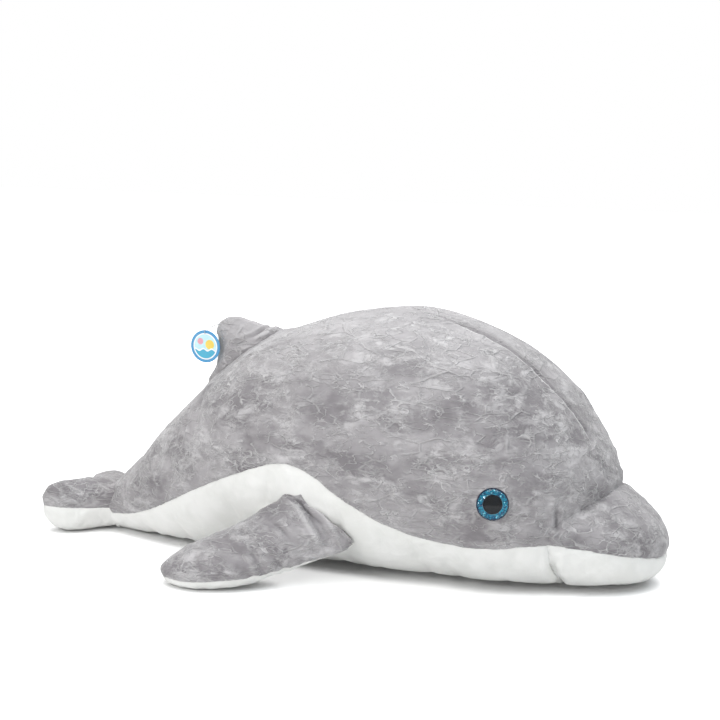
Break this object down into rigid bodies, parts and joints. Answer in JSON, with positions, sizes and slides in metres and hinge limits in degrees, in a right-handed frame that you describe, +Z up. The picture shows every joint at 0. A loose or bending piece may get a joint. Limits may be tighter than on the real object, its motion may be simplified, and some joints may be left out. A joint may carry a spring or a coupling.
{
  "type": "large plush dolphin",
  "caption": "Large soft plush dolphin lying on its belly, with a grey back, a white belly, sewn flippers, flukes and fin, and blue glitter eyes.",
  "frame": {"origin": "on the floor, on the flat of the belly's underside, in the middle plane, about half way along the whole toy", "axes": "+X towards the tip of the beak, +Y towards the dolphin's left flipper, +Z up towards its back"},
  "size_m": [1.0621, 0.6284, 0.403],
  "materials": {
    "grey_plush": "short-pile crushed plush with lighter and darker brushed patches",
    "white_plush": "short-pile smooth plush",
    "stuffing": "loose polyester fibre",
    "eye_lens": "clear moulded acrylic dome",
    "eye_glitter": "teal-blue glitter",
    "eye_pupil": "black",
    "eye_washer": "natural polypropylene",
    "tag_card": null,
    "tag_nylon": "clear nylon monofilament"
  },
  "bodies": {
    "root": {"back_panel_right": "grey_plush", "back_panel_left": "grey_plush", "belly_panel": "white_plush", "beak_upper": "grey_plush", "beak_lower": "white_plush", "body_stuffing": "stuffing", "dorsal_fin_right": "grey_plush", "dorsal_fin_left": "grey_plush", "dorsal_fin_stuffing": "stuffing", "flipper_right_upper": "grey_plush", "flipper_right_lower": "white_plush", "flipper_right_stuffing": "stuffing", "flipper_left_upper": "grey_plush", "flipper_left_lower": "white_plush", "flipper_left_stuffing": "stuffing", "fluke_upper": "grey_plush", "fluke_lower": "white_plush", "fluke_stuffing": "stuffing", "eye_lens_right": "eye_lens", "eye_lens_left": "eye_lens", "eye_iris_right": "eye_glitter", "eye_iris_left": "eye_glitter", "eye_pupil_right": "eye_pupil", "eye_pupil_left": "eye_pupil", "eye_washer_right": "eye_washer", "eye_washer_left": "eye_washer", "swing_tag": "tag_card", "tag_loop": "tag_nylon"}
  },
  "joints": []
}
